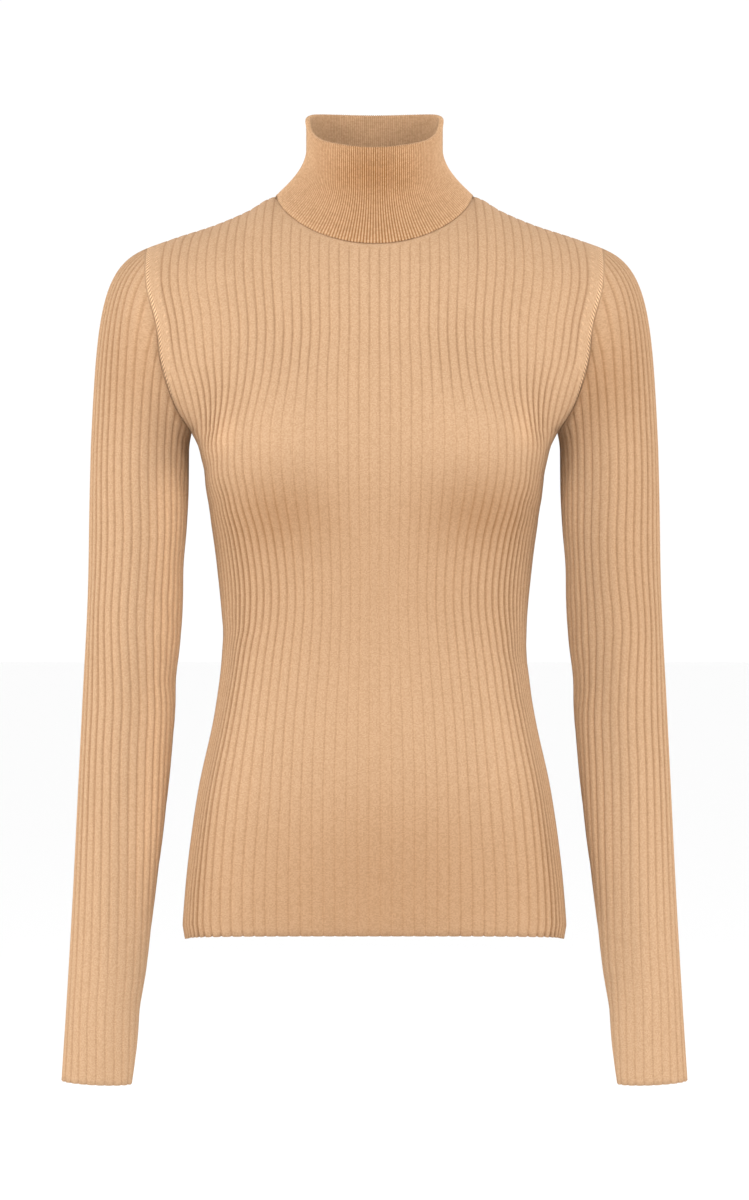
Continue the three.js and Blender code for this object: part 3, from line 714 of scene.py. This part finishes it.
SLEEVE_CREASES = {
    1: [
        dict(across=0.104, up=-0.338, lean=-58, long=0.034, wide=0.010, depth=0.0012),
        dict(across=0.092, up=-0.372, lean=-42, long=0.030, wide=0.011, depth=0.0011),
        dict(across=0.110, up=-0.408, lean=-25, long=0.028, wide=0.011, depth=0.0012),
        dict(across=0.085, up=-0.640, lean=-30, long=0.024, wide=0.007, depth=0.0010),
        dict(across=0.060, up=-0.694, lean=20, long=0.026, wide=0.007, depth=0.0009),
        dict(across=0.118, up=-0.226, lean=-62, long=0.026, wide=0.006, depth=0.0013),
        dict(across=-0.090, up=-0.352, lean=40, long=0.034, wide=0.008, depth=0.0013),
        dict(across=-0.080, up=-0.395, lean=24, long=0.030, wide=0.008, depth=0.0011),
    ],
    -1: [
        dict(across=0.100, up=-0.330, lean=-52, long=0.032, wide=0.008, depth=0.0013),
        dict(across=0.096, up=-0.364, lean=-36, long=0.032, wide=0.010, depth=0.0012),
        dict(across=0.112, up=-0.398, lean=-20, long=0.026, wide=0.008, depth=0.0013),
        dict(across=0.082, up=-0.655, lean=-24, long=0.026, wide=0.007, depth=0.0009),
        dict(across=0.064, up=-0.688, lean=26, long=0.024, wide=0.007, depth=0.0010),
        dict(across=0.116, up=-0.232, lean=-58, long=0.028, wide=0.006, depth=0.0012),
        dict(across=-0.094, up=-0.346, lean=36, long=0.032, wide=0.011, depth=0.0011),
        dict(across=-0.078, up=-0.404, lean=28, long=0.032, wide=0.011, depth=0.0011),
    ],
}
# Painted shade on the sleeve caps and down the upper sleeve, where less light falls.
SLEEVE_PAINTED_SHADING = {
    1: [
        dict(across=0.092, up=-0.150, lean=0, long=0.040, wide=0.040, depth=1.15),
        dict(across=0.050, up=-0.130, lean=0, long=0.050, wide=0.070, depth=0.55),
        dict(across=0.055, up=-0.300, lean=0, long=0.040, wide=0.110, depth=0.45),
    ],
    -1: [
        dict(across=0.080, up=-0.140, lean=0, long=0.045, wide=0.045, depth=0.60),
        dict(across=0.050, up=-0.130, lean=0, long=0.050, wide=0.070, depth=0.25),
    ],
}
# Painted light on the inner side of each sleeve, facing the body, lightening the shade there;
# stronger on the right sleeve.
INNER_PAINTED_LIGHT, PAINTED_LIGHT_FROM, PAINTED_LIGHT_TO = {1: 0.5, -1: 1.15}, 1.5, 2.8
FOREARM_TOP, FOREARM_BOTTOM = -0.46, -0.64
ELBOW_BENDS = {
    1: [
        dict(height=-0.350, tall=0.030, shift=-0.0030),
        dict(height=-0.276, tall=0.034, shift=0.0018),
        dict(height=-0.425, tall=0.030, shift=0.0014),
        dict(height=-0.655, tall=0.028, shift=-0.0012),
    ],
    -1: [
        dict(height=-0.342, tall=0.032, shift=-0.0026),
        dict(height=-0.268, tall=0.030, shift=0.0015),
        dict(height=-0.414, tall=0.028, shift=0.0017),
        dict(height=-0.668, tall=0.026, shift=-0.0014),
    ],
}
SLEEVE_FOLDS = [
    dict(height=-0.392, turn=150, tall=0.020, wide=55, depth=0.0022),
    dict(height=-0.300, turn=165, tall=0.024, wide=50, depth=0.0016),
    dict(height=-0.660, turn=170, tall=0.020, wide=60, depth=0.0014),
]


def arm_point(turn, height):
    """Point round the arm, at turns from its outer side (front +), on a ring square to the arm."""
    inner = smooth(ARM_SECTIONS, "height", height, "inner")
    outer = smooth(ARM_SECTIONS, "height", height, "outer")
    lower = max(height - 0.001, CUFF)
    ends = np.array([lower, lower + 0.001])
    middles = smooth(ARM_SECTIONS, "height", ends, "inner")
    middles = (middles + smooth(ARM_SECTIONS, "height", ends, "outer")) / 2
    lean = math.atan((middles[0] - middles[1]) / 0.001)
    across = (outer - inner) / 2 * np.cos(turn)
    x = (inner + outer) / 2 + across * math.cos(lean)
    y = smooth(ARM_SECTIONS, "height", height, "behind")
    y = y - smooth(ARM_SECTIONS, "height", height, "half_depth") * np.sin(turn)
    return np.stack([x, y, height + across * math.sin(lean)], axis=-1)


def ring_turns(height, lengths):
    """Turns round the arm at lengths of cloth from its outer side, and the length to the seam."""
    turns = np.linspace(0, math.pi, 181)
    ring = arm_point(turns, height)
    along = np.r_[0, np.cumsum(np.linalg.norm(np.diff(ring, axis=0), axis=1))]
    return np.sign(lengths) * np.interp(np.abs(lengths), along, turns), along[-1]


def seam_turn(arm_turn):
    """Turn round the armhole seam of the rib that is at a turn round the arm."""
    fine = np.linspace(0, 180, 721)
    arm = np.maximum.accumulate(smooth(CAP_TURNS, "seam", fine, "arm"))
    return np.radians(np.interp(np.degrees(np.abs(arm_turn)), arm, fine))


def cap_curves(arm_turn):
    """The cap: curves from the armhole seam over the shoulder to the arm, a row for each step."""
    arm_turn = (arm_turn + math.pi) % math.tau - math.pi
    seam = seam_turn(arm_turn)
    side = np.where(arm_turn > 0, -1, 1)
    start = np.zeros((len(seam), 3))
    for n, turn in enumerate(seam):
        panel = FRONT if side[n] < 0 else BACK
        start[n] = shoulder_row(panel, np.array([1.0]), turn)[0]
    slope = np.radians(smooth(CAP_SLOPES, "seam", np.degrees(seam), "slope"))
    leave = np.stack([np.cos(slope), side * CAP_BULGE * np.sin(seam), -np.sin(slope)], axis=-1)
    leave /= np.linalg.norm(leave, axis=1, keepdims=True)
    end = arm_point(arm_turn, CAP_BOTTOM)
    reach = np.linalg.norm(end - start, axis=1, keepdims=True)
    first = start + leave * CAP_TOP_KEEP * reach
    second = end + np.array([-CAP_ARM_LEAN, 0, 1]) * CAP_ARM_KEEP * reach
    t = np.linspace(0, 1, CAP_ROWS + 1)[:, None, None]
    curve = start * (1 - t) ** 3 + 3 * first * t * (1 - t) ** 2
    return curve + 3 * second * t**2 * (1 - t) + end * t**3


def sleeve_rows(turns):
    """Points of the wearer's left sleeve, a row up from the cuff for each row of turns."""
    heights = np.linspace(CUFF, CAP_BOTTOM, ARM_ROWS + 1)
    arm = [arm_point(row, height) for row, height in zip(turns, heights)]
    return np.array(arm + list(cap_curves(turns[ARM_ROWS])[-2::-1]))


def sleeve(hand):
    """Points, rib places, lengths and marks of a sleeve. hand is 1 for the wearer's left."""
    heights = np.linspace(CUFF, CAP_BOTTOM, ARM_ROWS + 1)
    half_girth = np.array([ring_turns(height, np.zeros(1))[1] for height in heights])[:, None]
    places = rib_columns(0.5, half_girth.max() / SLEEVE_PITCH + 0.5) - 0.5
    places = np.r_[places[::-1], -places[1:]]
    bends = ELBOW_BENDS[hand]
    sway = sum(bend["shift"] * near(heights, bend["height"], bend["tall"]) for bend in bends)
    front = np.sin(np.clip(places * SLEEVE_PITCH / half_girth, 0, 1) * math.pi)
    lengths = places * SLEEVE_PITCH + sway[:, None] * front
    rings = [ring_turns(height, row) for height, row in zip(heights, lengths)]
    turns = np.array([ring[0] for ring in rings])
    girth = np.array([ring[1] for ring in rings] + [rings[-1][1]] * CAP_ROWS)[:, None]
    points = sleeve_rows(turns)
    from_seam = np.maximum(girth - np.abs(places)[None] * SLEEVE_PITCH, 0)
    from_cuff = run_length(points, 0)
    from_top = from_cuff[-1:] - from_cuff

    nudge = 0.01
    across = sleeve_rows(turns - nudge) - sleeve_rows(turns + nudge)
    out = np.cross(across, np.gradient(points, axis=0))
    out /= np.maximum(np.linalg.norm(out, axis=2, keepdims=True), 1e-12)

    turns = np.concatenate([turns, np.repeat(turns[-1:], CAP_ROWS, axis=0)])
    ribs = np.broadcast_to(places + 0.5, from_seam.shape)
    at_seam = near(from_seam, 0, SLEEVE_SEAM_REACH)
    slack = np.abs(np.cos(turns)) ** 1.5 * np.where(np.cos(turns) > 0, OUTER_SLACK, INNER_SLACK)
    slack = SLEEVE_SLACK + (1 - SLEEVE_SLACK) * slack
    sunk = furrow(ribs, slack) * (1 - at_seam) + SLEEVE_SEAM_DEPTH * at_seam
    sunk = sunk * step_up(0.0002, 0.0022, from_top)
    press = np.zeros_like(sunk)
    for fold in SLEEVE_FOLDS:
        around = near(np.abs(np.degrees(turns)), fold["turn"], fold["wide"])
        press += fold["depth"] * near(points[..., 2], fold["height"], fold["tall"]) * around
    pressed = crease_depth(SLEEVE_CREASES[hand], places[None] * SLEEVE_PITCH, points[..., 2])
    press += pressed * step_up(0.001, 0.014, from_seam)
    # Painted shading on the sleeve: painted shade from the listed patches, less painted light on the
    # inner arm and along the lower cap seam.
    wide_open = crease_depth(SLEEVE_PAINTED_SHADING[hand], places[None] * SLEEVE_PITCH, points[..., 2])
    painted_light = step_up(PAINTED_LIGHT_FROM, PAINTED_LIGHT_TO, np.abs(turns))
    painted_light = painted_light * step_up(CAP_BOTTOM + 0.005, CAP_BOTTOM - 0.045, points[..., 2])
    painted_light = painted_light * step_up(FOREARM_BOTTOM, FOREARM_TOP - 0.04, points[..., 2])
    low_seam = step_up(CAP_PAINTED_LIGHT_FROM, CAP_PAINTED_LIGHT_TO, np.degrees(seam_turn(turns[-1])))
    cap_painted_light = CAP_PAINTED_LIGHT * low_seam * near(from_top, 0, CAP_PAINTED_LIGHT_REACH)
    wide_open -= INNER_PAINTED_LIGHT[hand] * painted_light + cap_painted_light
    above_cuff = step_up(FOREARM_BOTTOM, FOREARM_TOP, points[..., 2])
    firm = CUFF_FIRMNESS + (1 - CUFF_FIRMNESS) * above_cuff
    relief = (SLEEVE_RIB_DEPTH + SLEEVE_SIDE_DEPTH * slack) * firm
    points = points - out * (relief * sunk + press)[..., None]
    seam = seam_turn(turns[-1])
    into = np.stack([0 * seam, np.sign(turns[-1]) * np.sin(seam), -np.cos(seam)], axis=-1)
    points = points + SEAM_SINK * near(from_top, 0, SEAM_REACH)[..., None] * into
    scallop = 0.5 * HEM_SCALLOP * near(from_cuff, 0, HEM_SCALLOP_REACH) * (sunk - 0.3)
    lifted = CUFF_LIFT * near(from_cuff, 0, CUFF_LIFT_REACH) * (1 - np.cos(turns)) / 2
    points[..., 2] += scallop + lifted
    # From here sunk carries painted shade in the furrows, darker on the slack sides and fainter near
    # the cuff.
    sunk = sunk * (0.8 + 1.2 * slack) * firm
    if hand < 0:
        points = points[:, ::-1] * np.array([-1, 1, 1])
        ribs, from_cuff, sunk = ribs[:, ::-1], from_cuff[:, ::-1], sunk[:, ::-1]
        wide_open = wide_open[:, ::-1]
    return points, ribs, from_cuff, dict(sunk=sunk, linked=0.0, open=wide_open)


for name, hand in (("sleeve_left", 1), ("sleeve_right", -1)):
    piece = knit_object(name + "_cloth", *sleeve(hand))
    give_thickness(piece, CLOTH)
    piece.data.materials.append(WIDE_RIB)
    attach(piece, "root")
    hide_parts(name)


# THE COLLAR
# A long fine-rib tube linked round the neck, standing up and folded over outwards once. Its ribs
# spread from the fold to the free edge, which lies on the shoulders in small teeth.
COLLAR_TOP = table(
    "turn height",
    (-45, 0.042),
    (0, 0.0358),
    (45, 0.042),
    (70, 0.052),
    (90, 0.065),
    (120, 0.072),
    (180, 0.0748),
    (240, 0.072),
)
COLLAR_HALF_WIDTH, COLLAR_HALF_DEPTH, COLLAR_MIDDLE = 0.054, 0.052, -0.013
COLLAR_STRAIGHT_FROM, COLLAR_FLARE = 0.6, 1.8
COLLAR_LAYER = 0.0018
COLLAR_CLOTH = 0.0014
COLLAR_RIBS, COLLAR_RIB_DEPTH = 195, 0.0006
COLLAR_TEETH, COLLAR_TEETH_REACH = 0.0010, 0.003
FALL_REST, FALL_OVER, FALL_ABOVE = 0.22, 0.002, 0.0016
FOLD_PUFF, FOLD_PUFF_REACH = 0.0010, 0.005
# Painted shade on the front of the fall, just below the fold.
THROAT_SHADE, THROAT_HEIGHT, THROAT_REACH = 0.35, 0.014, 0.018
# Painted shade in the collar's furrows: how strong at the sides and at the front.
SIDE_GROOVE_SHADE, FRONT_GROOVE_SHADE = 0.75, 1.8
FALL_ROWS, FOLD_ROWS, STAND_ROWS = 30, 7, 16


def collar_surface(around, rises):
    """The middle between the stand and the fall, from the neck seam up to the fold."""
    share = NECK_SHARE * np.sin(around)
    front = shoulder_row(FRONT, share, 0.0)
    back = shoulder_row(BACK, share, 0.0)
    base = np.where((np.cos(around) > 0)[:, None], front, back)
    height = smooth(COLLAR_TOP, "turn", np.abs(np.degrees(around)), "height") - COLLAR_LAYER
    top = np.stack(
        [
            COLLAR_HALF_WIDTH * np.sin(around),
            COLLAR_MIDDLE - COLLAR_HALF_DEPTH * np.cos(around),
            height,
        ],
        axis=-1,
    )
    flare = np.maximum(1 - rises / COLLAR_STRAIGHT_FROM, 0)[:, None] ** COLLAR_FLARE
    points = np.zeros((len(rises), len(around), 3))
    for axis in (0, 1):
        points[..., axis] = top[:, axis] + (base[:, axis] - top[:, axis]) * flare
    points[..., 2] = base[:, 2] + (top[:, 2] - base[:, 2]) * rises[:, None]
    return points


def neck_rest(around):
    """Where the fall's free edge rests: a little way down the body from the neck seam."""
    share = NECK_SHARE * np.sin(around)
    rest = []
    for panel in (FRONT, BACK):
        seam, below = (shoulder_row(panel, share, turn) for turn in (0.0, 0.02))
        down = (below - seam) / np.linalg.norm(below - seam, axis=1, keepdims=True)
        side = np.gradient(seam, axis=0) * -np.sign(np.cos(around))[:, None] * panel["side"]
        out = np.cross(side, -down)
        out /= np.maximum(np.linalg.norm(out, axis=1, keepdims=True), 1e-12)
        rest.append(seam + down * FALL_OVER + out * FALL_ABOVE)
    return np.where((np.cos(around) > 0)[:, None], *rest)


def collar():
    """Points, rib places, lengths and marks: up the fall, over the fold, down the stand."""
    places = np.arange(COLLAR_RIBS * 4 + 1) / 4
    around = (places / COLLAR_RIBS * 2 - 1) * math.pi
    fall_rises = np.linspace(0, 1, FALL_ROWS)
    stand_rises = np.linspace(1, 0, STAND_ROWS)
    fall = collar_surface(around, fall_rises)
    stand = collar_surface(around, stand_rises[::-1])
    fall_out, stand_out = outward(fall, closed=True), outward(stand, closed=True)[::-1]
    stand = stand[::-1]

    top, top_out = fall[-1:], fall_out[-1:]
    up = np.array([0, 0, 1.0]) - top_out * top_out[..., 2:]
    up /= np.linalg.norm(up, axis=2, keepdims=True)
    bend = np.linspace(0, math.pi, FOLD_ROWS + 2)[1:-1, None, None]
    fold_out = top_out * np.cos(bend) + up * np.sin(bend)
    away = np.concatenate([fall_out, fold_out, -stand_out])
    points = np.concatenate([fall, np.broadcast_to(top, fold_out.shape), stand])
    points = points + away * COLLAR_LAYER
    rest = np.maximum(1 - fall_rises / FALL_REST, 0)[:, None, None] ** 2
    points[:FALL_ROWS] += (neck_rest(around) - points[:1]) * rest

    ribs = np.broadcast_to(places, points.shape[:2])
    sunk = np.cos(math.pi * ribs) ** 2
    length = run_length(points, 0)
    from_fold = length - length[FALL_ROWS + FOLD_ROWS // 2]
    puff = FOLD_PUFF * near(from_fold, 0, FOLD_PUFF_REACH) * (from_fold <= 0.001)
    points = points - away * (COLLAR_RIB_DEPTH * sunk)[..., None]
    points[..., :2] += away[..., :2] * puff[..., None]
    points[..., 2] += COLLAR_TEETH * near(length, 0, COLLAR_TEETH_REACH) * (sunk - 0.5)
    # Painted shade: the front of the fall darker below the fold, and its furrows darker towards the
    # front.
    in_front = np.maximum(np.cos(around), 0) ** 2
    shaded = THROAT_SHADE * in_front * near(points[..., 2], THROAT_HEIGHT, THROAT_REACH)
    groove_shade = SIDE_GROOVE_SHADE + (FRONT_GROOVE_SHADE - SIDE_GROOVE_SHADE) * in_front
    return points, ribs, length, dict(sunk=sunk * groove_shade, linked=0.0, open=shaded)


FINE_RIB = knit_material(
    "camel_fine_rib",
    light=(0.474, 0.302, 0.178, 1),
    dark=(0.392, 0.244, 0.137, 1),
    wales=1.0,
    courses=740.0,
    furrow_shade=0.50,
    flank_light=0.0,
)
piece = knit_object("roll_collar", *collar())
give_thickness(piece, COLLAR_CLOTH)
piece.data.materials.append(FINE_RIB)
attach(piece, "root")
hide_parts("collar")


# THE FLOOR, THE LIGHT AND THE CAMERA
# A plain white sweep well below the sweater, a white studio, and soft lamps: a main one high in
# front, one at each front side, one beside each sleeve and one behind. The camera is level with
# the waist.
FLOOR_HEIGHT, FLOOR_HALF = -1.4, 60.0
CAMERA_AWAY, CAMERA_HEIGHT, VIEW_TALL, FILM_TALL = 3.0, -0.328, 0.984, 36

floor = bmesh.new()
bmesh.ops.create_grid(floor, x_segments=1, y_segments=1, size=FLOOR_HALF)
bmesh.ops.translate(floor, verts=floor.verts, vec=(0, 0, FLOOR_HEIGHT))
mesh = bpy.data.meshes.new("studio_floor")
floor.to_mesh(mesh)
floor.free()
studio_floor = bpy.data.objects.new("studio_floor", mesh)
bpy.context.scene.collection.objects.link(studio_floor)
paint = bpy.data.materials.new("white_floor")
paint.use_nodes = True
paint.node_tree.nodes["Principled BSDF"].inputs["Base Color"].default_value = (0.95, 0.95, 0.95, 1)
paint.node_tree.nodes["Principled BSDF"].inputs["Roughness"].default_value = 0.9
mesh.materials.append(paint)

world = bpy.data.worlds.new("white_studio")
world.use_nodes = True
world.node_tree.nodes["Background"].inputs["Color"].default_value = (1.0, 1.0, 1.0, 1)
world.node_tree.nodes["Background"].inputs["Strength"].default_value = 1.02
bpy.context.scene.world = world


def soft_lamp(name, place, aim, size, watts):
    """A square soft lamp turned to shine at a point."""
    data = bpy.data.lights.new(name, "AREA")
    data.size, data.energy = size, watts
    lamp = bpy.data.objects.new(name, data)
    lamp.location = place
    lamp.rotation_euler = (Vector(aim) - Vector(place)).to_track_quat("-Z", "Y").to_euler()
    bpy.context.scene.collection.objects.link(lamp)


soft_lamp("main_lamp", (-0.4, -3.0, 3.0), (0, 0, -0.35), 1.1, 75)
soft_lamp("left_lamp", (-1.75, -2.7, 0.1), (0, 0, -0.4), 0.9, 38)
soft_lamp("right_lamp", (1.75, -2.7, 0.1), (0, 0, -0.4), 0.9, 39)
soft_lamp("left_edge_lamp", (-3.15, -0.55, 0.1), (0, 0, -0.4), 1.2, 64)
soft_lamp("back_lamp", (0.4, 2.6, 2.6), (0, 0, -0.35), 1.1, 45)
soft_lamp("right_edge_lamp", (3.15, -0.55, 0.1), (0, 0, -0.4), 1.2, 58)

camera = bpy.data.cameras.new("camera")
camera.lens = FILM_TALL * CAMERA_AWAY / VIEW_TALL
camera.dof.use_dof = False
eye = bpy.data.objects.new("camera", camera)
eye.location = (0, -CAMERA_AWAY, CAMERA_HEIGHT)
eye.rotation_euler = (math.pi / 2, 0, 0)
bpy.context.scene.collection.objects.link(eye)
bpy.context.scene.camera = eye
bpy.context.scene.view_settings.view_transform = "Standard"
